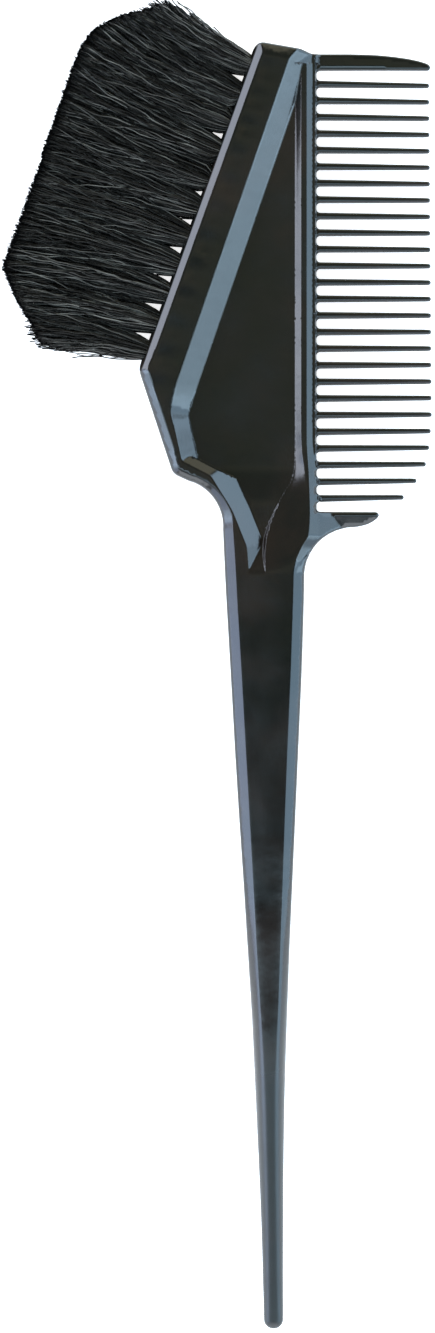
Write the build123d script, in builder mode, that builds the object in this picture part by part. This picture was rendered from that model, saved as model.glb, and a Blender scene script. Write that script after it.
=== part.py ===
"""Tint brush: one moulding that is tail handle, bristle rail, web and comb, with 22 staple-set tufts.

Millimetres. The brush lies flat: +Z is its thickness, +Y runs from the tail to the head, +X to the comb.
The origin is the middle of the footprint, on the plane that the brush rests on.
"""

from build123d import *
import math
import os

os.makedirs("parts", exist_ok=True)

# ---- thickness, along Z ----
thickness = 10.5          # rail, neck and grip, the thickest part
web_thickness = 5.2       # thin wall between the rail and the comb
spine_thickness = 6.8     # rib that carries the comb
spine_foot_thickness = 4.5
comb_thickness = 2.6      # teeth at the root
guard_thickness = 3.0     # stouter teeth at both ends of the comb
mid = Plane.XY.offset(thickness / 2)

# ---- bristle rail ----
rail_top = (6.44, 104.04)        # upper end of the bristle face
rail_bottom = (-13.07, 49.62)    # lower end of the bristle face
rail_length = math.dist(rail_top, rail_bottom)
rail_u = ((rail_top[0] - rail_bottom[0]) / rail_length, (rail_top[1] - rail_bottom[1]) / rail_length)
edge_bevel_width = 1.75
edge_bevel_height = 1.2
recess_slope_width = 3.3
recess_depth = (thickness - web_thickness) / 2

# ---- comb ----
tooth_count = 26
tooth_first = (17.3, 97.11)      # root of the uppermost fine tooth
tooth_pitch = 2.762
tooth_root_width = 1.1
tooth_tip_width = 0.75
gap_bottom_x = 16.55
spine_left_x = 12.95
spine_right_x = 16.35
comb_tip_x = 35.79
tip_arc_radius = 18.8            # rounds the lower run of tooth tips
tip_arc_y = 41.1

# ---- handle: place along Y, left edge, right edge, thickness, bevel width, bevel height ----
handle_sections = (
    (17.30, 1.25, 14.55, 10.5, 1.80, 1.25),
    (-12.88, 3.01, 13.41, 9.4, 1.90, 1.35),
    (-46.88, 5.16, 11.91, 7.2, 1.75, 1.40),
    (-82.88, 7.06, 10.93, 4.5, 1.15, 1.20),
    (-105.0, 7.81, 10.87, 3.1, 0.90, 0.90),
)
tail_end_y = -110.46
tail_end_x = 9.42
tail_diameter = 3.05

# ---- tufts ----
tufts_per_row = 11
tuft_pitch = 5.07
tuft_first_u = -3.95             # first tuft, from the top of the bristle face
row_spacing = 4.2
hole_diameter = 3.6
hole_depth = 6.5
tuft_plug_diameter = 3.5
tuft_thickness = 4.0
bristle_length = 27.0
fan_top_angle = 13.0             # outward lean of the upper and lower edge of the field
fan_bottom_angle = 9.5
anchor_width = 4.2               # wider than the hole, so it bites into the wall
anchor_height = 2.4
anchor_gauge = 0.5
anchor_depth = 4.6               # middle of the anchor, measured from the bristle face
field_trim = (                   # outline to which the finished bristles are trimmed
    (3.0, 0.0),
    (2.05, 13.2),
    (1.21, 15.65),
    (-3.44, 23.18),
    (-9.86, bristle_length),
    (-49.80, bristle_length),
    (-57.35, 19.47),
    (-60.2, 14.6),
    (-60.0, 0.0),
)

rail_plan = Plane(origin=(*rail_top, thickness / 2), x_dir=(*rail_u, 0), z_dir=(0, 0, 1))
rail_face = Plane(origin=(*rail_top, thickness / 2), x_dir=(*rail_u, 0), z_dir=(-rail_u[1], rail_u[0], 0))


def tooth_tip(y):
    """X of the tooth tips at a height: a nearly straight run, then an arc at the lower end."""
    if y >= tip_arc_y:
        return comb_tip_x - 0.5 * (y - tip_arc_y) / (tooth_first[1] - tip_arc_y)
    drop = tip_arc_y - y
    return comb_tip_x - tip_arc_radius + math.sqrt(tip_arc_radius**2 - drop**2)


def handle_octagon(left, right, depth, bevel, drop):
    """Cross-section of the handle in X and Z: a rectangle with bevelled corners."""
    half = depth / 2
    return [
        (left, drop - half),
        (left + bevel, -half),
        (right - bevel, -half),
        (right, drop - half),
        (right, half - drop),
        (right - bevel, half),
        (left + bevel, half),
        (left, half - drop),
    ]


def section_plane(y):
    """Plane across the handle, its local X along X and its local Y along Z."""
    return Plane(origin=(0, y, thickness / 2), x_dir=(1, 0, 0), z_dir=(0, -1, 0))


def tooth_outline(y_root, y_tip, root_width, tip_width, x_tip):
    """Corner points of one fine tooth, from its root inside the comb's base to its tip."""
    radius = tip_width / 2
    return [
        (gap_bottom_x, y_root + root_width / 2),
        (x_tip - radius, y_tip + radius),
        (x_tip, y_tip),
        (x_tip - radius, y_tip - radius),
        (gap_bottom_x, y_root - root_width / 2),
    ]


def fan_point(boundary, distance, inset):
    """Point on the ray between two tufts, in the rail's plan: X along the rail, Y away from its face."""
    share = boundary / tufts_per_row
    lean = math.radians(fan_top_angle - share * (fan_top_angle + fan_bottom_angle))
    u = tuft_first_u + tuft_pitch * (0.5 - boundary)
    return (u + distance * math.tan(lean) + inset, distance)


# ---- the moulding ----
with BuildPart() as moulding:
    # full-thickness head and neck, lower half, bevelled all round
    with BuildSketch(mid) as head_outline:
        with BuildLine():
            Line((1.33, 15.6), (1.04, 23.29))
            ThreePointArc((1.04, 23.29), (-1.28, 28.88), (-4.54, 30.86))
            Polyline((-4.54, 30.86), (-7.21, 32.12), rail_bottom, rail_top, (14.2, 102.67))
            Polyline((14.2, 102.67), (14.2, 37.0), (16.9, 31.5), (16.96, 24.46))
            RadiusArc((16.96, 24.46), (14.48, 15.6), 10.5)
            Line((14.48, 15.6), (1.33, 15.6))
        make_face()
    extrude(amount=edge_bevel_height - thickness / 2)
    with BuildSketch(Plane.XY.offset(edge_bevel_height)):
        add(head_outline.sketch.faces()[0].moved(Location((0, 0, -thickness / 2))))
    extrude(amount=-edge_bevel_height, taper=math.degrees(math.atan2(edge_bevel_width, edge_bevel_height)))

    # recess over the web, its walls sloping out towards the rim
    with BuildSketch(Plane.XY.offset(recess_depth)):
        with BuildLine():
            Polyline(
                (13.9, 100.8),
                (-5.04, 41.96),
                (-3.46, 34.46),
                (2.2, 31.93),
                (5.2, 27.0),
                (7.3, 21.0),
                (8.9, 17.6),
                (11.0, 20.5),
                (12.6, 28.0),
                (13.4, 36.0),
                (20.0, 38.0),
                (20.0, 100.8),
                close=True,
            )
        make_face()
    extrude(
        amount=-recess_depth,
        taper=-math.degrees(math.atan2(recess_slope_width, recess_depth)),
        mode=Mode.SUBTRACT,
    )

    # the right rim of the neck slopes down to the level of the comb's spine
    with BuildSketch(Plane.YZ.offset(11.0)):
        with BuildLine():
            Polyline(
                (18.0, -1.0),
                (18.0, 0.0),
                (37.5, (thickness - spine_thickness) / 2),
                (45.0, (thickness - spine_thickness) / 2),
                (45.0, -1.0),
                close=True,
            )
        make_face()
    extrude(amount=8.0, mode=Mode.SUBTRACT)

    # spine of the comb
    with BuildSketch(Plane.XZ.offset(-34.0)):
        with BuildLine():
            Polyline(
                (spine_left_x, thickness / 2),
                (spine_left_x, recess_depth),
                (spine_left_x + 1.05, (thickness - spine_thickness) / 2),
                (spine_right_x - 1.5, (thickness - spine_thickness) / 2),
                (spine_right_x, (thickness - spine_foot_thickness) / 2),
                (spine_right_x, thickness / 2),
                close=True,
            )
        make_face()
    extrude(amount=-67.0)

    # rounded-bottom base strip of the comb
    with BuildSketch(mid):
        with Locations((15.5, 62.7)):
            Rectangle(3.6, 71.0)
        for index in range(tooth_count + 1):
            with Locations((gap_bottom_x + 0.7, tooth_first[1] + tooth_pitch * (0.5 - index))):
                SlotCenterToCenter(1.0, tooth_pitch - tooth_root_width, mode=Mode.SUBTRACT)
    extrude(amount=-comb_thickness / 2)

    # fine teeth
    with BuildSketch(mid):
        for index in range(tooth_count):
            y_root = tooth_first[1] - index * tooth_pitch
            y_tip = y_root - 0.33 + 0.45 * index / (tooth_count - 1)
            with BuildLine():
                points = tooth_outline(y_root, y_tip, tooth_root_width, tooth_tip_width, tooth_tip(y_root))
                Line(points[0], points[1])
                ThreePointArc(points[1], points[2], points[3])
                Line(points[3], points[4])
                Line(points[4], points[0])
            make_face()
    extrude(amount=-comb_thickness / 2)

    # stouter tooth at the top of the comb
    with BuildSketch(mid):
        with BuildLine():
            Line((15.0, 99.25), (35.2, 99.25))
            ThreePointArc((35.2, 99.25), (35.6, 99.7), (35.12, 100.21))
            RadiusArc((35.12, 100.21), (22.12, 101.98), 47.6)
            Polyline((22.12, 101.98), (15.56, 101.98), (14.2, 102.62), (13.4, 101.0), (15.0, 99.25))
        make_face()
    extrude(amount=-guard_thickness / 2)

    # hooked tooth at the bottom of the comb, blended into the neck
    with BuildSketch(mid):
        with BuildLine():
            Line((15.0, 25.71), (26.4, 25.71))
            ThreePointArc((26.4, 25.71), (26.9, 25.1), (26.27, 24.13))
            ThreePointArc((26.27, 24.13), (23.9, 23.28), (21.29, 23.09))
            ThreePointArc((21.29, 23.09), (16.9, 20.78), (14.46, 15.6))
            Polyline((14.46, 15.6), (12.0, 17.0), (15.0, 25.71))
        make_face()
    extrude(amount=-guard_thickness / 2)

    mirror(about=mid)

    # tapering handle
    for y, left, right, depth, bevel, drop in handle_sections:
        with BuildSketch(section_plane(y)):
            Polygon(*handle_octagon(left, right, depth, bevel, drop), align=None)
    loft()

    # rounded end of the tail
    with BuildSketch(section_plane(-105.0)):
        with Locations((9.34, 0.0)):
            Circle(tail_diameter / 2)
    with BuildSketch(section_plane(tail_end_y)):
        with Locations((tail_end_x, 0.0)):
            Circle(tail_diameter / 2 - 0.02)
    loft()
    fillet(moulding.edges().filter_by(GeomType.CIRCLE).sort_by(Axis.Y)[0], 1.2)

    # blind holes for the tufts and the slits that the anchors bite into
    for row in (-row_spacing / 2, row_spacing / 2):
        with BuildSketch(rail_face):
            for index in range(tufts_per_row):
                with Locations((tuft_first_u - index * tuft_pitch, row)):
                    Circle(hole_diameter / 2)
        extrude(amount=-hole_depth, mode=Mode.SUBTRACT)
        with BuildSketch(rail_plan.offset(row)):
            for index in range(tufts_per_row):
                with Locations((tuft_first_u - index * tuft_pitch, -anchor_depth)):
                    Rectangle(anchor_width, anchor_height)
        extrude(amount=anchor_gauge / 2, both=True, mode=Mode.SUBTRACT)

moulding.part.label = "handle_comb"
export_step(moulding.part, "parts/handle_comb.step")

# ---- tufts and the anchors that hold them ----
for row_name, row in (("front", row_spacing / 2), ("back", -row_spacing / 2)):
    for index in range(tufts_per_row):
        tuft_u = tuft_first_u - index * tuft_pitch

        with BuildPart() as anchor:
            with BuildSketch(rail_plan.offset(row)):
                with Locations((tuft_u, -anchor_depth)):
                    Rectangle(anchor_width, anchor_height)
            extrude(amount=anchor_gauge / 2, both=True)
        anchor.part.label = f"anchor_{row_name}_{index + 1:02d}"
        export_step(anchor.part, f"parts/{anchor.part.label}.step")

        with BuildPart() as tuft:
            with BuildSketch(rail_plan.offset(row)):
                with BuildLine():
                    Polyline(
                        (tuft_u + tuft_plug_diameter / 2 - 0.1, 0.2),
                        fan_point(index, 2.6, -0.05),
                        fan_point(index, bristle_length + 3, -0.05),
                        fan_point(index + 1, bristle_length + 3, 0.05),
                        fan_point(index + 1, 2.6, 0.05),
                        (tuft_u - tuft_plug_diameter / 2 + 0.1, 0.2),
                        close=True,
                    )
                make_face()
                with BuildLine():
                    Polyline(*field_trim, close=True)
                make_face(mode=Mode.INTERSECT)
            extrude(amount=tuft_thickness / 2, both=True)
            with BuildSketch(rail_face.offset(0.6)):
                with Locations((tuft_u, -row)):
                    Circle(tuft_plug_diameter / 2)
            extrude(amount=-hole_depth - 0.6)
            with BuildSketch(rail_plan.offset(row)):
                with Locations((tuft_u, -anchor_depth)):
                    Rectangle(anchor_width, anchor_height)
            extrude(amount=anchor_gauge / 2, both=True, mode=Mode.SUBTRACT)
        tuft.part.label = f"tuft_{row_name}_{index + 1:02d}"
        export_step(tuft.part, f"parts/{tuft.part.label}.step")
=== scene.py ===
"""Looks of the tint brush: a glossy black moulding and 22 tufts of crimped nylon, on a pale studio floor.

Shapes are worked out in millimetres and become metres when their mesh is made. Lights, textures and the
camera are in metres.
"""

import math

import bpy
import numpy as np
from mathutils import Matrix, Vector
from mathutils.geometry import delaunay_2d_cdt
from mathutils.kdtree import KDTree


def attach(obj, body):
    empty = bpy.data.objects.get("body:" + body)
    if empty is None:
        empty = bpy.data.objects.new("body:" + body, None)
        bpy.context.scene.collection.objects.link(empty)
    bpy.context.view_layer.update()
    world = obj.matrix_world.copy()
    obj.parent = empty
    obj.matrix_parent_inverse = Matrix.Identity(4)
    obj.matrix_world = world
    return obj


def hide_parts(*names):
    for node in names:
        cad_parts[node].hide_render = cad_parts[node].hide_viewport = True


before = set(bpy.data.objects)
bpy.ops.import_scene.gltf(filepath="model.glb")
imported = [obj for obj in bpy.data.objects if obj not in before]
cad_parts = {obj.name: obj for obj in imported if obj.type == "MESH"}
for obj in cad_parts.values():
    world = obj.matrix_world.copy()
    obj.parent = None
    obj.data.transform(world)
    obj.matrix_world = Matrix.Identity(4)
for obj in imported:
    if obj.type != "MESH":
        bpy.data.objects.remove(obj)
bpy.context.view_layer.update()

MM = 0.001
MID = 5.25             # height of the mirror plane
FULL = MID             # half thickness of the grip and the rail
rng = np.random.default_rng(7)


def linked(name, data):
    """New object in the scene."""
    obj = bpy.data.objects.new(name, data)
    bpy.context.collection.objects.link(obj)
    return obj


def point_values(mesh, name, values):
    """Attribute with one number for each vertex."""
    layer = mesh.attributes.new(name, "FLOAT", "POINT")
    layer.data.foreach_set("value", values.astype(np.float32))


# ------------------------------------------------------------------ outline
ARC_TURN = 0.30            # radians between points on a rounded corner, at most
NEARLY_STRAIGHT = 1.56     # a corner with a greater half angle isn't rounded


def undivided(p):
    return math.inf


def rounded(points, step=undivided):
    """Closed outline from (x, y, corner radius) points; its sides are divided to about step(place)."""
    out = []
    n = len(points)
    for i in range(n):
        x, y, r = points[i]
        p = np.array((x, y))
        a = np.array(points[i - 1][:2]) - p
        b = np.array(points[(i + 1) % n][:2]) - p
        la, lb = np.linalg.norm(a), np.linalg.norm(b)
        a, b = a / la, b / lb
        half = math.acos(max(-1.0, min(1.0, float(a @ b)))) / 2
        if r <= 0 or half > NEARLY_STRAIGHT:
            out.append(p)
            continue
        t = min(r / math.tan(half), 0.49 * la, 0.49 * lb)
        r = t * math.tan(half)
        centre = p + (a + b) / np.linalg.norm(a + b) * r / math.sin(half)
        v0, v1 = p + a * t - centre, p + b * t - centre
        sweep = math.pi - 2 * half
        turn = 1 if v0[0] * v1[1] - v0[1] * v1[0] > 0 else -1
        count = max(2, int(math.ceil(sweep / ARC_TURN)))
        for k in range(count + 1):
            c, s = math.cos(turn * sweep * k / count), math.sin(turn * sweep * k / count)
            out.append(centre + (v0[0] * c - v0[1] * s, v0[0] * s + v0[1] * c))
    loop = []
    for i, p in enumerate(out):
        q = out[(i + 1) % len(out)]
        length = np.linalg.norm(q - p)
        if length < 1e-4:
            continue
        parts = max(1, int(math.ceil(length / step(0.5 * (p + q)))))
        for k in range(parts):
            loop.append(p + (q - p) * k / parts)
    return np.array(loop)


def through(points, count):
    """Smooth curve through the points, with count pieces between two of them."""
    p = np.array(points, float)
    p = np.vstack([2 * p[0] - p[1], p, 2 * p[-1] - p[-2]])
    out = []
    for i in range(1, len(p) - 2):
        for k in range(count):
            t = k / count
            out.append(0.5 * (2 * p[i] + (p[i + 1] - p[i - 1]) * t
                              + (2 * p[i - 1] - 5 * p[i] + 4 * p[i + 1] - p[i + 2]) * t * t
                              + (3 * p[i] - p[i - 1] - 3 * p[i + 1] + p[i + 2]) * t ** 3))
    out.append(p[-2])
    return [tuple(q) for q in out]


def shifted(points, dx):
    """The points moved by dx."""
    return [(x + dx, y) for x, y in points]


def sharp(points):
    """The points as corners without rounding."""
    return [(x, y, 0) for x, y in points]


def arc(x, y, radius, start, stop, step):
    """Points on an arc round (x, y), by whole degrees."""
    return [(x + radius * math.cos(math.radians(a)), y + radius * math.sin(math.radians(a)), 0)
            for a in range(start, stop, step)]


SIDE = 0.15           # the handle's sides lie this far out from the points below
LEFT = [(7.86, -106.6), (7.76, -102.88), (7.48, -92.88), (7.06, -82.88), (6.49, -70.88), (5.91, -58.88),
        (5.16, -46.88), (4.42, -34.88), (3.62, -22.88), (3.01, -12.88), (2.34, -0.88), (1.64, 11.12),
        (1.37, 16.5)]
RIGHT = [(10.86, -106.6), (10.84, -102.88), (10.86, -92.88), (10.92, -82.88), (11.12, -70.88),
         (11.50, -58.88), (11.92, -46.88), (12.43, -34.88), (12.96, -22.88), (13.40, -12.88),
         (13.92, -0.88), (14.29, 11.12)]
TAIL_END = [(7.80, -110.46, 1.6), (11.00, -110.46, 1.6)]
RAIL_FOOT = [(-13.15, 49.55, 3.3), (-7.40, 32.05, 2.0), (-4.65, 30.80, 2.0)]
SHOULDER = arc(-6.96, 23.29, 7.92, 66, -5, -7)      # hollow between the rail's foot and the grip
FILLET = arc(22.72, 14.88, 8.25, 176, 96, -8)       # hollow between the grip and the hook tooth

TEETH = 26
PITCH = 2.762
FIRST_Y = 97.11
GAP_X = 16.55          # bottom of the gaps between the teeth
GAP_ROUND = 0.6
ROOT_HALF = 0.58       # half widths of a fine tooth at its root, where its tip starts, and at its end
TIP_START_HALF = 0.43
TIP_HALF = 0.39
TIP_LENGTH = 1.2
TIP_ROUND = 0.37
TIPS_Y = [28.3, 31.0, 33.8, 36.6, 41.1, 97.1]
TIPS_X = [31.1, 33.45, 34.95, 35.41, 35.78, 35.34]


def tip_x(y):
    """X of the end of the fine tooth that is rooted at y."""
    return float(np.interp(y, TIPS_Y, TIPS_X))


def comb_points():
    """Hook tooth, fine teeth from the bottom up, then the top tooth."""
    hook = through([(21.6, 23.10), (23.29, 23.23), (24.96, 23.62), (26.12, 24.22), (26.78, 24.78),
                    (26.94, 25.29), (26.62, 25.66), (26.1, 25.71)], 3)
    pts = sharp(hook) + [(GAP_X, 25.71, GAP_ROUND)]
    for i in reversed(range(TEETH)):
        share = i / (TEETH - 1)
        root = FIRST_Y - PITCH * i + 0.03 - 0.13 * (2 * share - 1) ** 2
        tip = root - 0.26 + 0.44 * share
        x = tip_x(root)
        pts.append((GAP_X, root - ROOT_HALF, GAP_ROUND))
        pts.append((x - TIP_LENGTH, tip - TIP_START_HALF, 1.0))
        pts.append((x, tip - TIP_HALF, TIP_ROUND))
        pts.append((x, tip + TIP_HALF, TIP_ROUND))
        pts.append((x - TIP_LENGTH, tip + TIP_START_HALF, 1.0))
        pts.append((GAP_X, root + ROOT_HALF, GAP_ROUND))
    pts += [(GAP_X, 99.24, GAP_ROUND), (35.25, 99.24, 0.5), (35.64, 99.75, 0.45), (35.3, 100.24, 0.3)]
    top = through([(35.0, 100.42), (34.1, 100.74), (32.1, 101.2), (29.4, 101.58), (26.3, 101.86),
                   (22.1, 101.98)], 2)
    return pts + sharp(top)


def outline_step(p):
    """Length of the outline's pieces at p, on the handle, on the teeth and on the rest of the head."""
    if p[1] < 10:
        return 0.7
    return 0.5 if p[0] > 16.5 and p[1] > 25.9 else 0.4


OUTLINE = rounded(
    sharp(through(shifted(RIGHT, SIDE), 3)) + FILLET + comb_points()
    + [(15.7, 101.98, 1.5), (14.0, 102.70, 3.0), (11.8, 103.10, 5.0), (6.44, 104.03, 1.75)]
    + RAIL_FOOT + SHOULDER + sharp(reversed(through(shifted(LEFT, -SIDE), 3))) + TAIL_END,
    outline_step)
FORWARD = np.roll(OUTLINE, -1, axis=0) - np.roll(OUTLINE, 1, axis=0)
INWARD = np.stack([-FORWARD[:, 1], FORWARD[:, 0]], 1)
INWARD /= np.linalg.norm(INWARD, axis=1, keepdims=True)


# ------------------------------------------------------------------ thickness
def smin(a, b, k):
    """The smaller one, with a smooth change over about k."""
    h = np.clip(0.5 + 0.5 * (b - a) / k, 0, 1)
    return b + (a - b) * h - k * h * (1 - h)


def smax(a, b, k):
    return -smin(-a, -b, k)


def ease(t):
    t = np.clip(t, 0, 1)
    return t * t * (3 - 2 * t)


def curve(at, xs, values):
    """Smooth curve through (xs, values), level beyond its ends."""
    xs, values = np.array(xs, float), np.array(values, float)
    slope = np.gradient(values, xs)
    rise = np.diff(values) / np.diff(xs)
    slope[0] = slope[-1] = 0.0
    turns = rise[1:] * rise[:-1] <= 0
    slope[1:-1] = np.where(turns, 0.0, 2 * rise[1:] * rise[:-1] / (rise[1:] + rise[:-1] + 1e-12))
    at = np.clip(at, xs[0], xs[-1])
    i = np.clip(np.searchsorted(xs, at) - 1, 0, len(xs) - 2)
    width = xs[i + 1] - xs[i]
    t = (at - xs[i]) / width
    return ((1 + 2 * t) * (1 - t) ** 2 * values[i] + t * (1 - t) ** 2 * width * slope[i]
            + t * t * (3 - 2 * t) * values[i + 1] - t * t * (1 - t) * width * slope[i + 1])


def sd_polygon(x, y, poly):
    """Signed distance to a closed polygon, positive inside."""
    best = np.full(x.shape, 1e9)
    inside = np.zeros(x.shape, bool)
    n = len(poly)
    for i in range(n):
        ax, ay = poly[i]
        bx, by = poly[(i + 1) % n]
        ex, ey = bx - ax, by - ay
        t = np.clip(((x - ax) * ex + (y - ay) * ey) / (ex * ex + ey * ey), 0, 1)
        best = np.minimum(best, (x - ax - t * ex) ** 2 + (y - ay - t * ey) ** 2)
        inside ^= ((ay > y) != (by > y)) & (x < ex * (y - ay) / (ey + 1e-12) + ax)
    return np.where(inside, 1, -1) * np.sqrt(best)


# outlines of the moulding without its teeth, of the recess, and of the leaf-shaped face in the neck
BODY = rounded(
    sharp(through(shifted(RIGHT, SIDE), 1))
    + [(14.55, 15.3, 0), (14.85, 17.3, 0), (15.65, 19.6, 2.0), (16.96, 22.0, 1.5), (16.96, 24.46, 6.0),
       (16.7, 31.96, 6.0), (16.35, 38.0, 6.0), (16.35, 104.3, 0), (14.3, 104.7, 2.0), (11.9, 105.1, 5.0),
       (7.15, 106.0, 1.75)]
    + RAIL_FOOT + SHOULDER + sharp(reversed(through(shifted(LEFT, -SIDE), 1))) + TAIL_END)
RECESS = rounded([(16.70, 104.6, 0), (-4.98, 42.0, 2.4), (-3.25, 34.3, 0), (1.5, 11.9, 0), (20.0, 11.9, 0),
                  (20.0, 104.6, 0)])
LEAF = rounded([(-9.4, 51.0, 0), (2.20, 31.93, 0), (5.2, 27.0, 9.0), (7.85, 20.4, 6.0), (8.5, 11.0, 0),
                (20.0, 11.0, 0), (20.0, 60.0, 0)])
LEAF_SLOPE = 3.0       # width of the leaf's slope
RECESS_Y = 12.5        # the recess and the spine end above this
NECK = 3.1             # half thickness of the scoop's floor in the neck
WEB = 2.6              # half thickness of the web
COMB = 1.3             # half thickness of the teeth at the root
HEAD_RIM = 4.6         # half thickness at the head's end
HEAD_SLOPE = 0.38      # and its growth for each millimetre from there

FACET = (-3.08, 34.36)           # foot of the steep facet between the rail's slope and the neck's
FACET_OUT = (-0.458, -0.889)
FACET_ALONG = (0.889, -0.458)
FACET_WIDTH = 1.5

CORNER_X = 16.35       # the corner where the recess, the spine and the head's end meet
CORNER_Y = 100.4
CORNER_HALF = 2.25

EDGE_ROUND = 0.42      # radii of the outer edges
TAIL_ROUND = 0.28
TOOTH_ROUND = 0.40

RAIL = np.array((6.44, 104.04))          # top end of the rail's face
U = np.array((0.33749, 0.94133))         # along the rail, upwards
V = np.array((-0.94133, 0.33749))        # out of its face
RAIL_LENGTH = 58.6
TUFTS = 11
TUFT_PITCH = 5.07
FIRST_U = -3.95
ROW = 2.1              # distance of each row of tufts from the mirror plane
HOLE = 1.72            # radius of a tuft's root


def rail_place(x, y):
    """Distance out of the rail's face, and along it from its top end."""
    dx, dy = x - RAIL[0], y - RAIL[1]
    return dx * V[0] + dy * V[1], dx * U[0] + dy * U[1]


def beside_rail(along, y):
    """True along the rail's face."""
    return (along < 0.8) & (along > -RAIL_LENGTH) & (y > 49)


def bevel_width(y):
    return curve(y, [-110, -60, -10, 15, 24, 29, 31.5, 33.5, 37, 49, 54],
                 [0.9, 1.35, 1.9, 1.9, 1.75, 1.25, 1.0, 1.2, 1.45, 1.45, 1.75])


def recess_slope(y):
    """Width of the slope between the web and the rim."""
    return 2.65 + 0.65 * ease((y - 39) / 8)


def spine_edge(y):
    """X of the outer foot of the spine, which meets the teeth."""
    return curve(y, [15, 17.3, 19.5, 22, 24.5, 32, 38, 102],
                 [14.45, 14.8, 15.6, 16.85, 16.96, 16.7, 16.35, 16.35])


def spine_band(y):
    return curve(y, [15, 19, 22, 26, 32, 38], [1.9, 1.75, 1.7, 1.55, 1.5, 1.5])


def spine_rim(y):
    """X of the inner edge of the spine's top."""
    return curve(y, [12, 15.3, 17.8, 19.5, 21.5, 24.5, 28, 32, 36, 39],
                 [12.3, 12.4, 13.1, 14.0, 14.8, 15.2, 15.1, 14.7, 14.15, 14.0])


def spine_foot(y):
    """X where the spine's inner side reaches the web, or the scoop in the neck."""
    return curve(y, [12, 15.3, 17.8, 20.6, 23.1, 25.8, 28.6, 31.5, 34, 37],
                 [8.4, 8.1, 7.9, 8.1, 8.6, 9.6, 10.96, 12.5, 12.9, 12.95])


def half_width(y):
    """Half the handle's width between its points."""
    left, right = np.array(LEFT), np.array(RIGHT)
    return 0.5 * (np.interp(y, right[:, 1], right[:, 0]) - np.interp(y, left[:, 1], left[:, 0]))


def tail_share(y):
    """0 on the grip, 1 where the section is an oval."""
    return ease((-28 - y) / 50)


def bevelled(x, y):
    """Grip and rail, flat with a bevelled rim, and the tail, whose section becomes an oval."""
    full = curve(y, [-111, -106, -66, -58, 20, 30], [1.42, 1.63, 3.62, 3.85, FULL, FULL])
    wall = full - curve(y, [-110, -60, -10, 15, 26, 31, 36], [0.9, 1.25, 1.4, 1.35, 1.1, 0.8, 1.15])
    inset = sd_polygon(x, y, BODY)
    flat = smin(full, wall + inset * (full - wall) / bevel_width(y), 0.2)
    share = np.clip(inset / np.maximum(half_width(y), 0.2), 0, 1)
    oval = full * np.sqrt(np.maximum(1 - (1 - share) ** 2, 0))
    tail = tail_share(y)
    outer = flat * (1 - tail) + oval * tail
    head_end = 0.1733 * (RAIL[0] - x) + 0.985 * (RAIL[1] - y)
    return smin(outer, HEAD_RIM + head_end * HEAD_SLOPE, 0.15)


def spine(x, y):
    """Ridge between web and teeth, which runs down into the neck's right rim; its outer slope by itself."""
    edge, foot = spine_edge(y), spine_foot(y)
    top = curve(y, [13, 15, 18, 21, 25, 30, 34, 38], [5.5, 5.45, 5.2, 4.85, 4.4, 3.9, 3.55, 3.4])
    base = curve(y, [15, 19, 25, 32, 38], [4.0, 3.7, 3.1, 2.5, 2.25])
    beyond = (edge - x) * np.where(y < 26.3, 0.62, 7)
    right = base + np.where(x < edge, (edge - x) * (top - base) / spine_band(y), beyond)
    down = np.clip((32.5 - y) / 17.5, 0, 1)
    low = WEB + (5.55 - WEB) * (0.45 * down + 0.55 * down ** 2)
    inner = (x - foot) * np.maximum(top - low, 0.0) / (spine_rim(y) - foot)
    left = low + np.where(x > foot, inner, (x - foot) * 2.3)
    return smin(smin(top, right, 0.16), left, 0.08), right


def recess(x, y):
    """Flat web, sloping wall along the rail, and a scoop that climbs to the grip."""
    climb = smax((20.9 - y) / 5.3, 0, 0.15)
    floor = WEB + (NECK - WEB) * ease((33.5 - y) / 7) + (FULL - NECK) * np.minimum(climb, 1.3)
    up = (x - FACET[0]) * FACET_OUT[0] + (y - FACET[1]) * FACET_OUT[1]
    facet = smin(FULL + (up - FACET_WIDTH) * 0.80, WEB + (up + 0.12) * 7, 0.12)
    leaf = NECK - sd_polygon(x, y, LEAF) * (FULL - NECK) / LEAF_SLOPE
    rise = -sd_polygon(x, y, RECESS)
    slope = smin(FULL - (recess_slope(y) - rise) * 0.803, WEB + (rise + 0.10) * 6, 0.08)
    slope = smax(slope, smin(facet, leaf, 0.3), 0.15)
    return smax(floor, slope, 0.22)


def head_corner(x, y):
    """Slope that closes the recess at the head: what the spine stays under, and what fills the end."""
    slope = CORNER_HALF + (CORNER_X - x) * 0.60 - np.maximum(x - 16.8, 0) * 3
    below = np.maximum(CORNER_Y - y, 0) * 2.5
    return slope + below, slope - below - 50 * (y < 99)


def rail_face(x, y, body):
    """The rail's face has draft, and its rim sinks a little over each tuft's hole."""
    out, along = rail_place(x, y)
    body = np.where(beside_rail(along, y) & (out > -3), smin(body, 0.9 - 7.0 * out, 0.2), body)
    wave = 1 + np.cos(2 * math.pi * (along - FIRST_U) / TUFT_PITCH)
    sink = 0.028 * wave * np.exp(-((out + 3.4) / 2.2) ** 2)
    return body - np.where((out < 0) & (out > -12) & (along < 1), sink, 0)


def teeth(x, y):
    """Fine teeth, and the stout ones at both ends of the comb."""
    fine = COMB - 0.30 * np.clip((x - 16.5) / 19, 0, 1)
    top = 1.5 - 0.5 * np.clip((x - 22) / 13, 0, 1) ** 2
    hook = np.minimum(1.75, 0.85 + np.maximum(27.1 - x, 0) * 0.16) - 0.45 * np.maximum(25.1 - y, 0)
    return np.where(y < 26.6, hook, np.where(y > 98.3, top, fine))


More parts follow.
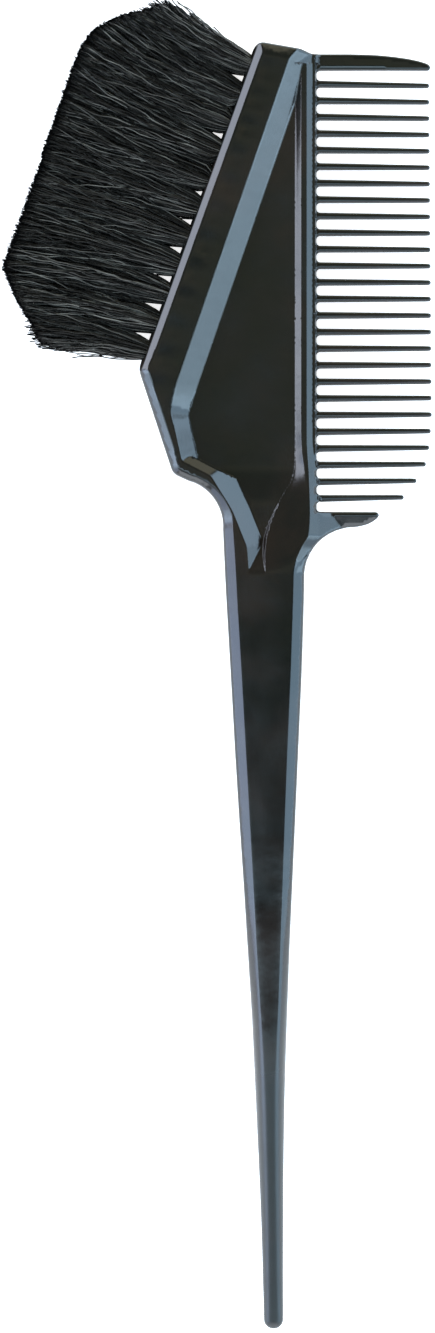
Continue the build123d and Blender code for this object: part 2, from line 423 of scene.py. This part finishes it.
def thickness(x, y, d):
    """Half thickness at (x, y); d is the distance to the outline."""
    outer = bevelled(x, y)
    ridge, beyond = spine(x, y)
    limit, fill = head_corner(x, y)
    pocket = smax(recess(x, y), smin(ridge, limit, 0.1), 0.20)
    pocket = smax(pocket, fill, 0.1)
    body = np.where(y < RECESS_Y, outer, smin(outer, pocket, 0.2))
    body = rail_face(x, y, body)

    edge = spine_edge(y)
    rooted = np.where(x > edge, smax(beyond, fill, 0.1), body)
    body = np.where(x > edge - 0.6, smax(rooted, teeth(x, y), 0.12), body)

    # every outer edge is rounded over, apart from the oval tail's
    r = np.where(x > edge, TOOTH_ROUND, np.where(y < -70, TAIL_ROUND, EDGE_ROUND)) * (1 - tail_share(y))
    r = np.minimum(r, 0.6 * body)
    over = np.clip(1 - d / np.maximum(r, 1e-6), 0, 1)
    return np.maximum(body - r * (1 - np.sqrt(1 - over * over)), 0.0)


# ------------------------------------------------------------------ the moulding
RING_DEPTHS = (0.05, 0.14, 0.28)                                # rows of mesh points inside the outline
CREASE_SHIFTS = (-0.30, -0.19, -0.10, 0.0, 0.10, 0.19, 0.30)    # and beside each crease
FLAT_BEND = 0.0035     # the fine grid is kept where the surface bends more than this
THINNEST = 0.03


def flat_tree(points):
    tree = KDTree(len(points))
    for i, p in enumerate(points):
        tree.insert((p[0], p[1], 0), i)
    tree.balance()
    return tree


def nearest_outline(px, py):
    """Distance to the outline, positive inside, and the unit vector in which it grows."""
    tree = flat_tree(OUTLINE)
    near = np.array([tree.find((a, b, 0))[1] for a, b in zip(px, py)])
    best = np.full(len(px), 1e9)
    gx, gy, side = np.zeros(len(px)), np.zeros(len(px)), np.ones(len(px))
    n = len(OUTLINE)
    for offset in (-2, -1, 0, 1):
        a = OUTLINE[(near + offset) % n]
        b = OUTLINE[(near + offset + 1) % n]
        e = b - a
        t = np.clip(((px - a[:, 0]) * e[:, 0] + (py - a[:, 1]) * e[:, 1]) / (e ** 2).sum(1), 0, 1)
        dx, dy = px - a[:, 0] - t * e[:, 0], py - a[:, 1] - t * e[:, 1]
        dist = np.hypot(dx, dy)
        s = np.where(e[:, 0] * dy - e[:, 1] * dx >= 0, 1.0, -1.0)
        take = dist < best - 1e-9
        best = np.where(take, dist, best)
        side = np.where(take, s, side)
        gx = np.where(take, s * dx / np.maximum(dist, 1e-9), gx)
        gy = np.where(take, s * dy / np.maximum(dist, 1e-9), gy)
    return best * side, gx, gy


def grid(x0, x1, y0, y1, step):
    """Triangular grid of points."""
    xs = np.arange(x0, x1, step)
    ys = np.arange(y0, y1, step * 0.866)
    gx, gy = np.meshgrid(xs, ys)
    gx = gx + (np.arange(len(ys)) % 2)[:, None] * step * 0.5
    return np.stack([gx.ravel(), gy.ravel()], 1)


def contour(poly, offset, step):
    """Points at a distance inside a polygon's sides, step apart."""
    out = []
    for i in range(len(poly)):
        a, b = poly[i], poly[(i + 1) % len(poly)]
        length = np.linalg.norm(b - a)
        parts = max(1, int(length / step))
        t = (np.arange(parts) + 0.5)[:, None] / parts
        p = a + (b - a) * t
        inward = np.array((a[1] - b[1], b[0] - a[0])) / length
        out.append(p + inward * offset(p)[:, None])
    out = np.vstack(out)
    want = offset(out)
    return out[abs(sd_polygon(out[:, 0], out[:, 1], poly) - want) < 0.03]


def apart(cloud, others, gap):
    """The points of cloud that are further than gap from every point of others."""
    tree = flat_tree(others)
    return cloud[np.array([tree.find((p[0], p[1], 0))[2] > gap for p in cloud])]


def clear_of_outline(cloud, gap):
    """The points of cloud that are inside the outline by more than gap, and not among the fine teeth."""
    d, _, _ = nearest_outline(cloud[:, 0], cloud[:, 1])
    among_teeth = (cloud[:, 0] > 16.95) & (cloud[:, 1] < 98.6) & (cloud[:, 1] > 26.4)
    return cloud[(d > gap) & ~among_teeth]


def ring_points():
    ring = np.vstack([OUTLINE + INWARD * depth for depth in RING_DEPTHS])
    want = np.repeat(RING_DEPTHS, len(OUTLINE))
    d, _, _ = nearest_outline(ring[:, 0], ring[:, 1])
    return ring[d > want * 0.93]


def tooth_points():
    """Points near the middle of each fine tooth."""
    lines = []
    for i in range(TEETH):
        root = FIRST_Y - PITCH * i
        tip = root - 0.33 + 0.45 * i / (TEETH - 1)
        xs = np.arange(16.6, tip_x(root) - 0.5, 0.5)
        lines.append(np.stack([xs, root + (tip - root) * (xs - 16) / (tip_x(root) - 16)], 1))
    return np.vstack(lines)


def bend(x, y):
    """How much the surface turns within a tenth of a millimetre, far from the outline."""
    far = np.full(len(x), 9.0)
    e = 0.1
    middle = thickness(x, y, far)
    return (abs(thickness(x + e, y, far) + thickness(x - e, y, far) - 2 * middle)
            + abs(thickness(x, y + e, far) + thickness(x, y - e, far) - 2 * middle))


def crease_points():
    """Rows of points along the creases and on both sides of them."""
    lines = []
    facet = np.arange(-0.6, 5.6, 0.3)[:, None] * FACET_ALONG + FACET
    ys = np.arange(14, 101.5, 0.45)
    for shift in CREASE_SHIFTS:
        lines.append(contour(BODY, lambda p: bevel_width(p[:, 1]) + shift, 0.45))
        lines.append(contour(RECESS, lambda p: shift + 0 * p[:, 0], 0.45))
        lines.append(contour(RECESS, lambda p: shift - recess_slope(p[:, 1]), 0.45))
        lines.append(contour(LEAF, lambda p: shift + 0 * p[:, 0], 0.4))
        lines.append(contour(LEAF, lambda p: shift - LEAF_SLOPE + 0 * p[:, 0], 0.4))
        lines.append(facet + np.array(FACET_OUT) * shift)
        lines.append(facet + np.array(FACET_OUT) * (FACET_WIDTH + shift))
        for line in (spine_foot(ys), spine_rim(ys), spine_edge(ys) - spine_band(ys), spine_edge(ys)):
            lines.append(np.stack([line + shift, ys], 1))
    for inset in (0.38, 0.46, 0.54, 0.64):
        lines.append(RAIL + np.arange(-58.0, 0.2, 0.3)[:, None] * U - V * inset)
    lines = np.vstack(lines)
    return lines[sd_polygon(lines[:, 0], lines[:, 1], BODY) > -0.4]


def moulding_plan():
    """Triangles that fill the outline, with small ones along the creases."""
    coarse = np.vstack([grid(-13, 28, 14, 104, 0.50), grid(28, 36, 98.5, 102, 0.5),
                        grid(1, 15, -110, 14, 0.55)])
    fine = np.vstack([grid(-4, 17.5, 13, 40, 0.19), grid(7, 18.6, 97, 104, 0.17)])
    fine = fine[bend(fine[:, 0], fine[:, 1]) > FLAT_BEND]
    fine = clear_of_outline(fine, 0.36)
    lines = clear_of_outline(crease_points(), 0.36)
    coarse = apart(clear_of_outline(coarse, 0.5), np.vstack([lines, fine]), 0.2)
    fine = apart(fine, lines, 0.08)
    points = [Vector(p) for p in np.vstack([OUTLINE, ring_points(), tooth_points(), coarse, fine, lines])]
    verts, _, faces, owners, *_ = delaunay_2d_cdt(points, [], [list(range(len(OUTLINE)))], 1, 1e-5)
    return verts, faces, owners


def moulding_object():
    """The plan raised to its thickness on both sides of the mirror plane, with a wall round the outline."""
    verts, faces, owners = moulding_plan()
    xy = np.array([(v[0], v[1]) for v in verts])
    x, y = xy[:, 0], xy[:, 1]
    d, gx, gy = nearest_outline(x, y)
    n, count = len(OUTLINE), len(verts)
    edge = np.full(count, -1)
    for i, own in enumerate(owners):
        for o in own:
            if o < n:
                edge[i] = o
    on_edge = edge >= 0
    d[on_edge] = 0
    h = np.maximum(thickness(x, y, d), THINNEST)
    e = 0.012
    hx = (thickness(x + e, y, d + e * gx) - thickness(x - e, y, np.maximum(d - e * gx, 0))) / (2 * e)
    hy = (thickness(x, y + e, d + e * gy) - thickness(x, y - e, np.maximum(d - e * gy, 0))) / (2 * e)
    normal = np.stack([-hx, -hy, np.ones(count)], 1)
    normal[on_edge] = np.hstack([-INWARD[edge[on_edge]], np.full((on_edge.sum(), 1), 0.05)])
    normal /= np.linalg.norm(normal, axis=1, keepdims=True)
    normals = np.vstack([normal, normal * (1, 1, -1)])

    coords = np.vstack([np.stack([x, y, MID + h], 1), np.stack([x, y, MID - h], 1)]) * MM
    tri = np.array(faces)
    flipped = tri[:, ::-1] + count
    place = np.empty(n, int)
    place[edge[on_edge]] = np.nonzero(on_edge)[0]
    after = np.roll(place, -1)
    wall = np.stack([place, place + count, after + count, after], 1)
    polys = [tuple(t) for t in tri] + [tuple(t) for t in flipped] + [tuple(q) for q in wall]
    mesh = bpy.data.meshes.new("moulding")
    mesh.from_pydata([tuple(c) for c in coords], [], polys)
    mesh.shade_smooth()
    mesh.normals_split_custom_set_from_vertices([tuple(v) for v in normals])
    mesh.validate()
    # painted shade: a strip along the rail's face, beside the bristles, where the plastic's reflection is
    # switched off so it stays dark
    out, along = rail_place(x, y)
    painted_dark_strip = np.where(beside_rail(along, y), np.clip((out + 0.62) / 0.15, 0, 1), 0)
    point_values(mesh, "painted_dark_strip", np.concatenate([painted_dark_strip, painted_dark_strip]))
    return linked("moulding", mesh)


# ------------------------------------------------------------------ bristles
# outline to which the field is trimmed, along the rail and out of it
TRIM = rounded([(4.0, -2.0, 0), (1.0, 4.0, 0), (0.3, 8.0, 0), (1.0, 12.6, 1), (1.05, 15.6, 1),
                (0.45, 17.3, 1), (-1.2, 19.3, 1), (-3.5, 23.0, 3), (-7.0, 26.3, 3), (-10.6, 27.3, 1),
                (-30.1, 27.25, 0), (-49.6, 27.05, 1), (-53.7, 23.5, 4), (-57.2, 19.4, 3),
                (-59.2, 17.3, 0.5), (-59.5, 15.0, 0), (-59.2, 10.0, 0), (-58.6, -2.0, 0)])

# how far each gap between tufts reaches out of the rail; two are closed
GAPS = (3.6, -0.4, 2.6, -0.4, 2.2, 3.0, 3.6, 3.6, 4.1, 4.1)
CRIMP = ((3.4, 5.4, 0.10), (6.5, 9.5, 0.11), (12.0, 20.0, 0.14))    # shortest and longest wave, height
FIELD = 29             # distance from the rail at which a filament's height has settled
SUNK = 0.6             # filaments start this far inside the rail
FILAMENTS = 215        # in one tuft
CLUMPS = 16            # filaments of one clump lean and end alike
RINGS = 22             # rings of points along a filament
SIDES = 5              # points in a ring


def filament_paths(index, row):
    """Filaments that leave a round hole, spread into a fan and are trimmed to the field's outline."""
    count = FILAMENTS
    centre = FIRST_U - TUFT_PITCH * index
    radius = HOLE * np.sqrt(rng.random(count))
    angle = rng.random(count) * 2 * math.pi
    ru, rz = radius * np.cos(angle), radius * np.sin(angle)
    lean = 9.0 - 17.2 * index / (TUFTS - 1)
    clump = rng.integers(0, CLUMPS, count)
    fan = np.radians(lean + 3.0 * ru / HOLE + rng.normal(0, 3.1, count) + rng.normal(0, 1.5, CLUMPS)[clump])

    # filaments at the two ends of the field keep closer together, and more of them stray
    outer = (index == 0) & (ru > 0) | (index == TUFTS - 1) & (ru < 0)
    ru = np.where(outer, ru * 0.8, ru)
    gap = np.where(ru > 0, GAPS[max(index - 1, 0)], GAPS[min(index, TUFTS - 2)])
    widen = np.where(outer, 0.58, np.where(gap < 0, 0.85, 0.62))[:, None]
    reach = np.where(outer, 2.0, np.maximum(gap + 0.5, 0.3) / 1.45)[:, None]
    stray = rng.random(count) < np.where(outer, 0.16, 0.012)
    away = math.radians(4.5) * (1 if index < TUFTS / 2 else -1)
    turned = np.where(outer, away * rng.random(count), rng.normal(0, math.radians(4), count))
    fan = fan + np.where(stray, turned, 0)
    tip_z = row * ROW + 2.45 * rz / HOLE + rng.normal(0, 0.25, count) + rng.normal(0, 0.2, CLUMPS)[clump]
    tip_z = np.clip(tip_z, -4.7, 4.7)
    waves = []
    for low, high, size in CRIMP:
        waves.append((rng.uniform(low, high, count)[:, None], rng.uniform(0, 2 * math.pi, (2, count, 1)),
                      (size * rng.uniform(0.3, 1.5, count))[:, None]))

    def place(v):
        """Place along the rail, and height, of each filament at the distances v out of the rail."""
        out = np.maximum(v, 0)
        u = centre + ru[:, None] * (1 + widen * (1 - np.exp(-np.maximum(v + 0.5, 0) / reach)))
        u = u + np.tan(fan)[:, None] * (0.4 * out + 0.6 * out ** 2 / 18)
        near = (1 - np.minimum(out / FIELD, 1)) ** 1.3
        z = (row * ROW + rz)[:, None] * near + tip_z[:, None] * (1 - near)
        grow = np.clip(v / 7.0, 0, 1)
        for length, phase, size in waves:
            u = u + size * grow * np.sin(2 * math.pi * v / length + phase[0])
            z = z + 0.75 * size * grow * np.sin(2 * math.pi * v / length + phase[1])
        return u, np.clip(z, -5.0, 5.0)

    # each filament ends where it leaves the outline, a little short of it and unevenly
    probe = np.broadcast_to(np.linspace(6, 30, 97), (count, 97))
    u, _ = place(probe)
    inside = sd_polygon(u, probe, TRIM) > np.where(stray & outer, -1.3 * rng.random(count), 0)[:, None]
    end = probe[0][np.argmax(~inside, axis=1)] - 0.125
    uneven = rng.normal(0, 0.07, count) + rng.normal(0, 0.16, CLUMPS)[clump]
    end = end - 0.22 + uneven + np.where(stray & ~outer, 0.4, 0)
    share = np.append(np.linspace(0, 0.985, RINGS - 1), 1.0)
    v = -SUNK + (end[:, None] + SUNK) * share[None, :]
    u, z = place(v)
    return np.stack([RAIL[0] + U[0] * u + V[0] * v, RAIL[1] + U[1] * u + V[1] * v, MID + z], 2)


def tube_mesh(name, path, thick):
    """Tubes along the paths, narrower at the tip and capped there."""
    tangent = np.gradient(path, axis=1)
    tangent /= np.linalg.norm(tangent, axis=2, keepdims=True)
    side = np.cross(tangent, (0, 0, 1.0))
    side /= np.linalg.norm(side, axis=2, keepdims=True)
    up = np.cross(side, tangent)
    taper = np.ones((1, RINGS, 1))
    taper[0, -1, 0] = 0.8
    turn = np.arange(SIDES) * 2 * math.pi / SIDES
    around = [path + (side * math.cos(a) + up * math.sin(a)) * thick * taper for a in turn]
    coords = np.stack(around, 2).reshape(-1, 3)

    base = (np.arange(len(path)) * RINGS * SIDES)[:, None, None]
    k = np.arange(RINGS - 1)[None, :, None] * SIDES
    j = np.arange(SIDES)[None, None, :]
    after = (j + 1) % SIDES
    quads = np.stack([base + k + j, base + k + after, base + k + SIDES + after, base + k + SIDES + j], 3)
    caps = base[:, :, 0] + (RINGS - 1) * SIDES + np.arange(SIDES)[None, :]
    walls = quads.size // 4
    loops = np.concatenate([quads.ravel(), caps.ravel()])
    starts = np.concatenate([np.arange(walls) * 4, walls * 4 + np.arange(len(path)) * SIDES])
    mesh = bpy.data.meshes.new(name)
    mesh.vertices.add(len(coords))
    mesh.vertices.foreach_set("co", (coords * MM).ravel())
    mesh.loops.add(len(loops))
    mesh.loops.foreach_set("vertex_index", loops.astype(np.int32))
    mesh.polygons.add(len(starts))
    mesh.polygons.foreach_set("loop_start", starts.astype(np.int32))
    mesh.update(calc_edges=True)
    mesh.polygons.foreach_set("use_smooth", np.arange(len(starts)) < walls)
    return mesh


def filament_tones_and_tip_shade():
    """Tone of every vertex: it varies between filaments and along them, and at the tips it is 0, which paints
    them black and without reflection, as painted shade over the light they catch at the field's edge.
    """
    tone_and_tip_shade = 0.30 + 0.70 * rng.random((FILAMENTS, RINGS)) ** 0.8
    tone_and_tip_shade = 0.5 * (tone_and_tip_shade + np.roll(tone_and_tip_shade, 1, axis=1)) + 0.12
    tone_and_tip_shade = np.clip(rng.random(FILAMENTS)[:, None] * tone_and_tip_shade, 0.04, 1)
    # painted shade: the last two rings of every filament get tone 0, black and unreflective
    tone_and_tip_shade[:, -2:] = 0
    return np.repeat(tone_and_tip_shade.ravel(), SIDES)


def tuft_object(name, index, row, material):
    path = filament_paths(index, row)
    thick = rng.uniform(0.088, 0.112, FILAMENTS)[:, None, None]
    mesh = tube_mesh(name, path, thick)
    point_values(mesh, "tone_and_tip_shade", filament_tones_and_tip_shade())
    mesh.materials.append(material)
    return linked(name, mesh)


# ------------------------------------------------------------------ materials
NYLON_IOR = 1.53
PLASTIC_IOR = 1.53
TAIL_MATT = 0.26       # roughness added at the tail's end


def new_material(name):
    material = bpy.data.materials.new(name)
    material.use_nodes = True
    nodes = material.node_tree.nodes
    return material, nodes, material.node_tree.links, nodes["Principled BSDF"]


def noise(nodes, links, coords, scale, detail=3.0, rough=0.5, stretch=None):
    node = nodes.new("ShaderNodeTexNoise")
    node.inputs["Scale"].default_value = scale
    node.inputs["Detail"].default_value = detail
    node.inputs["Roughness"].default_value = rough
    source = coords.outputs["Object"]
    if stretch:
        mapping = nodes.new("ShaderNodeMapping")
        mapping.inputs["Scale"].default_value = stretch
        links.new(source, mapping.inputs["Vector"])
        source = mapping.outputs["Vector"]
    links.new(source, node.inputs["Vector"])
    return node


def ramp(nodes, links, source, stops):
    node = nodes.new("ShaderNodeValToRGB")
    links.new(source, node.inputs["Fac"])
    while len(node.color_ramp.elements) < len(stops):
        node.color_ramp.elements.new(0.5)
    for element, (place, value) in zip(node.color_ramp.elements, stops):
        element.position = place
        element.color = (*value, 1) if isinstance(value, tuple) else (value, value, value, 1)
    return node


def moulded_black():
    material, nodes, links, shader = new_material("gloss_black_plastic")
    coords = nodes.new("ShaderNodeTexCoord")
    cloud = noise(nodes, links, coords, 60, 4)
    tint = ramp(nodes, links, cloud.outputs["Fac"],
                [(0.34, (0.0040, 0.0052, 0.0040)), (0.52, (0.0062, 0.0064, 0.0056)),
                 (0.68, (0.0125, 0.0088, 0.0070))])
    links.new(tint.outputs["Color"], shader.inputs["Base Color"])
    smear = noise(nodes, links, coords, 110, 5, 0.6)
    rough = ramp(nodes, links, smear.outputs["Fac"], [(0.35, 0.10), (0.75, 0.22)])

    # the tail is less glossy towards its end
    place = nodes.new("ShaderNodeSeparateXYZ")
    links.new(coords.outputs["Object"], place.inputs["Vector"])
    dull = nodes.new("ShaderNodeMapRange")
    dull.interpolation_type = "SMOOTHSTEP"
    for socket, value in (("From Min", -0.056), ("From Max", -0.080), ("To Min", 0.0), ("To Max", TAIL_MATT)):
        dull.inputs[socket].default_value = value
    links.new(place.outputs["Y"], dull.inputs["Value"])
    total = nodes.new("ShaderNodeMath")
    links.new(rough.outputs["Color"], total.inputs[0])
    links.new(dull.outputs["Result"], total.inputs[1])
    links.new(total.outputs["Value"], shader.inputs["Roughness"])

    # painted shade: the strip beside the bristles reflects nothing, as the refractive index falls to 1 there,
    # so it stays dark where it would reflect the bright floor
    painted_dark_strip = nodes.new("ShaderNodeAttribute")
    painted_dark_strip.attribute_name = "painted_dark_strip"
    gloss = nodes.new("ShaderNodeMath")
    gloss.operation = "MULTIPLY_ADD"
    gloss.inputs[1].default_value = 1 - PLASTIC_IOR
    gloss.inputs[2].default_value = PLASTIC_IOR
    links.new(painted_dark_strip.outputs["Fac"], gloss.inputs[0])
    links.new(gloss.outputs["Value"], shader.inputs["IOR"])
    peel = noise(nodes, links, coords, 420, 2)
    bump = nodes.new("ShaderNodeBump")
    bump.inputs["Strength"].default_value = 0.05
    bump.inputs["Distance"].default_value = 0.0004
    links.new(peel.outputs["Fac"], bump.inputs["Height"])
    links.new(bump.outputs["Normal"], shader.inputs["Normal"])
    return material


def nylon():
    material, nodes, links, shader = new_material("black_nylon")
    tone_and_tip_shade = nodes.new("ShaderNodeAttribute")
    tone_and_tip_shade.attribute_name = "tone_and_tip_shade"
    # base colour from the tone: it differs at random between filaments, and is black at the tips as painted
    # shade
    shade = ramp(nodes, links, tone_and_tip_shade.outputs["Fac"],
                 [(0.0, (0.002, 0.002, 0.002)), (0.45, (0.005, 0.005, 0.005)),
                  (0.70, (0.030, 0.030, 0.027)), (1.0, (0.115, 0.111, 0.096))])
    links.new(shade.outputs["Color"], shader.inputs["Base Color"])
    coords = nodes.new("ShaderNodeTexCoord")
    streak = noise(nodes, links, coords, 900, 3)
    rough = ramp(nodes, links, streak.outputs["Fac"], [(0.3, 0.17), (0.7, 0.30)])
    links.new(rough.outputs["Color"], shader.inputs["Roughness"])
    shader.inputs["IOR"].default_value = NYLON_IOR
    shader.inputs["Specular Tint"].default_value = (1.0, 0.93, 0.84, 1)
    # tone 0 at the tips turns their reflection off: painted shade
    sheen = ramp(nodes, links, tone_and_tip_shade.outputs["Fac"], [(0.0, 0.0), (0.04, 0.16), (0.45, 0.36), (0.85, 0.80)])
    links.new(sheen.outputs["Color"], shader.inputs["Specular IOR Level"])
    return material


def steel():
    material, nodes, links, shader = new_material("bright_wire")
    coords = nodes.new("ShaderNodeTexCoord")
    drawn = noise(nodes, links, coords, 700, 4, 0.6, (1, 1, 9))
    tint = ramp(nodes, links, drawn.outputs["Fac"], [(0.3, (0.42, 0.42, 0.43)), (0.7, (0.62, 0.62, 0.63))])
    links.new(tint.outputs["Color"], shader.inputs["Base Color"])
    rough = ramp(nodes, links, drawn.outputs["Fac"], [(0.3, 0.22), (0.7, 0.40)])
    links.new(rough.outputs["Color"], shader.inputs["Roughness"])
    shader.inputs["Metallic"].default_value = 1.0
    return material


# ------------------------------------------------------------------ assembly
plastic = moulded_black()
bristle = nylon()
metal = steel()

moulding = moulding_object()
moulding.data.materials.append(plastic)
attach(moulding, "root")
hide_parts("handle_comb")

for row_name, row in (("front", 1), ("back", -1)):
    for i in range(TUFTS):
        name = f"tuft_{row_name}_{i + 1:02d}"
        tuft = tuft_object(name.replace("tuft", "bristles"), i, row, bristle)
        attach(tuft, "root")
        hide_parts(name)

for name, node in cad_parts.items():
    if name.startswith("anchor"):
        node.data.materials.clear()
        node.data.materials.append(metal)


# ------------------------------------------------------------------ studio
BOX_HEIGHT = 0.8
SOFTBOXES = (          # name, place, target, width, radiance, colour
    ("left_low_box", (-1.0, -0.58, 0.40), (0, -0.14, 0.05), 0.80, 2.3, (0.82, 1.0, 1.40)),
    ("left_box", (-1.0, -0.09, 0.40), (0, -0.05, 0.05), 0.20, 4.0, (0.82, 1.0, 1.40)),
    ("left_upper_box", (-1.0, 0.52, 0.40), (0, 0.17, 0.05), 1.0, 5.8, (0.92, 1.0, 1.20)),
    ("right_low_box", (1.0, -0.57, 0.40), (0, -0.14, 0.05), 0.76, 1.75, (0.62, 0.94, 1.25)),
    ("right_box", (1.0, 0.03, 0.40), (0, 0.02, 0.05), 0.44, 3.4, (0.62, 0.94, 1.25)),
    ("right_upper_box", (1.0, 0.62, 0.40), (0, 0.17, 0.05), 0.72, 4.2, (0.66, 0.96, 1.25)),
    ("head_box", (0.0, 1.1, 0.45), (0, 0, 0.05), 1.6, 1.2, (1.0, 0.96, 0.70)),
    ("tail_box", (0.0, -1.1, 0.45), (0, 0, 0.05), 1.6, 3.0, (0.92, 0.98, 1.06)),
)
FLOOR_HALF = 2.5
FLOOR_GAP = 0.0002
CAMERA_DISTANCE = 1.6
SCALE_HEIGHT = 0.006           # the picture's scale is true at this height
PICTURE_LENGTH = 0.22217       # what the picture's long side shows at that height
NUDGE = 0.00004                # lines the picture up with the photograph
SENSOR = 36.0


def floor_object():
    mesh = bpy.data.meshes.new("floor")
    corners = [(x * FLOOR_HALF, y * FLOOR_HALF, 0) for x, y in ((-1, -1), (1, -1), (1, 1), (-1, 1))]
    mesh.from_pydata(corners, [], [(0, 1, 2, 3)])
    obj = linked("floor", mesh)
    material, _, _, shader = new_material("pale_floor")
    shader.inputs["Base Color"].default_value = (0.86, 0.86, 0.86, 1)
    shader.inputs["Roughness"].default_value = 0.7
    shader.inputs["Emission Color"].default_value = (1, 1, 1, 1)
    shader.inputs["Emission Strength"].default_value = 0.85
    obj.data.materials.append(material)
    obj.location.z = -FLOOR_GAP
    return obj


def softbox(name, place, target, width, radiance, colour):
    light = bpy.data.lights.new(name, "AREA")
    light.shape = "RECTANGLE"
    light.size = width
    light.size_y = BOX_HEIGHT
    light.energy = radiance * math.pi * width * BOX_HEIGHT
    light.color = colour
    obj = linked(name, light)
    obj.location = place
    obj.rotation_euler = (Vector(target) - Vector(place)).to_track_quat("-Z", "Y").to_euler()


def studio_world():
    """What the gloss reflects: a mottled sky that changes from tail to head, and a plain wall low down."""
    world = bpy.data.worlds.new("studio")
    world.use_nodes = True
    nodes, links = world.node_tree.nodes, world.node_tree.links
    sky = nodes.new("ShaderNodeTexCoord")
    split = nodes.new("ShaderNodeSeparateXYZ")
    links.new(sky.outputs["Generated"], split.inputs["Vector"])

    def mottle(scale, detail):
        node = nodes.new("ShaderNodeTexNoise")
        node.inputs["Scale"].default_value = scale
        node.inputs["Detail"].default_value = detail
        links.new(sky.outputs["Generated"], node.inputs["Vector"])
        return node.outputs["Fac"]

    def between(source, low, high):
        node = nodes.new("ShaderNodeMapRange")
        node.inputs["From Min"].default_value = low
        node.inputs["From Max"].default_value = high
        links.new(source, node.inputs["Value"])
        return node.outputs["Result"]

    def combine(how, first, second):
        node = nodes.new("ShaderNodeMixRGB")
        node.blend_type = how
        node.inputs["Fac"].default_value = 1.0
        links.new(first.outputs["Color"], node.inputs["Color1"])
        links.new(second.outputs["Color"], node.inputs["Color2"])
        return node

    haze = ramp(nodes, links, mottle(26, 1.5),
                [(0.34, (0.12, 0.13, 0.10)), (0.52, (0.31, 0.32, 0.25)), (0.70, (0.68, 0.57, 0.40))])
    hue = ramp(nodes, links, mottle(38, 1.0),
               [(0.36, (1.15, 0.93, 0.86)), (0.5, (1.0, 1.0, 1.0)), (0.64, (0.88, 1.05, 0.86))])
    lengthwise = between(split.outputs["Y"], -0.40, 0.20)
    fall = ramp(nodes, links, lengthwise,
                [(0.0, (0.12, 0.18, 0.30)), (0.54, (0.05, 0.08, 0.14)), (0.60, (0.18, 0.20, 0.23)),
                 (0.65, (0.45, 0.45, 0.45)), (0.70, (0.85, 0.86, 0.86)), (0.753, (1.05, 1.05, 1.05)),
                 (0.782, (1.6, 1.6, 1.5)), (0.82, (0.9, 0.88, 0.84)), (1.0, (0.50, 0.48, 0.44))])
    glow = ramp(nodes, links, lengthwise,
                [(0.0, (0.40, 0.48, 0.56)), (0.20, (2.2, 3.0, 3.6)), (0.445, (2.6, 3.5, 4.1)),
                 (0.465, (0.0, 0.0, 0.0))])
    shine = combine("ADD", combine("MULTIPLY", combine("MULTIPLY", haze, hue), fall), glow)
    wall = nodes.new("ShaderNodeMixRGB")
    wall.inputs["Color1"].default_value = (0.80, 0.81, 0.82, 1)
    links.new(between(split.outputs["Z"], 0.09, 0.13), wall.inputs["Fac"])
    links.new(shine.outputs["Color"], wall.inputs["Color2"])
    links.new(wall.outputs["Color"], nodes["Background"].inputs["Color"])
    nodes["Background"].inputs["Strength"].default_value = 1.0
    return world


def camera_object():
    """Camera that looks straight down, as the photograph does."""
    data = bpy.data.cameras.new("camera")
    data.sensor_width = SENSOR
    data.lens = SENSOR * CAMERA_DISTANCE / PICTURE_LENGTH
    data.clip_end = 20
    obj = linked("camera", data)
    obj.location = (NUDGE, -NUDGE, CAMERA_DISTANCE + SCALE_HEIGHT)
    return obj


floor_object()
for box in SOFTBOXES:
    softbox(*box)
bpy.context.scene.world = studio_world()
bpy.context.scene.camera = camera_object()
bpy.context.scene.view_settings.view_transform = "Standard"
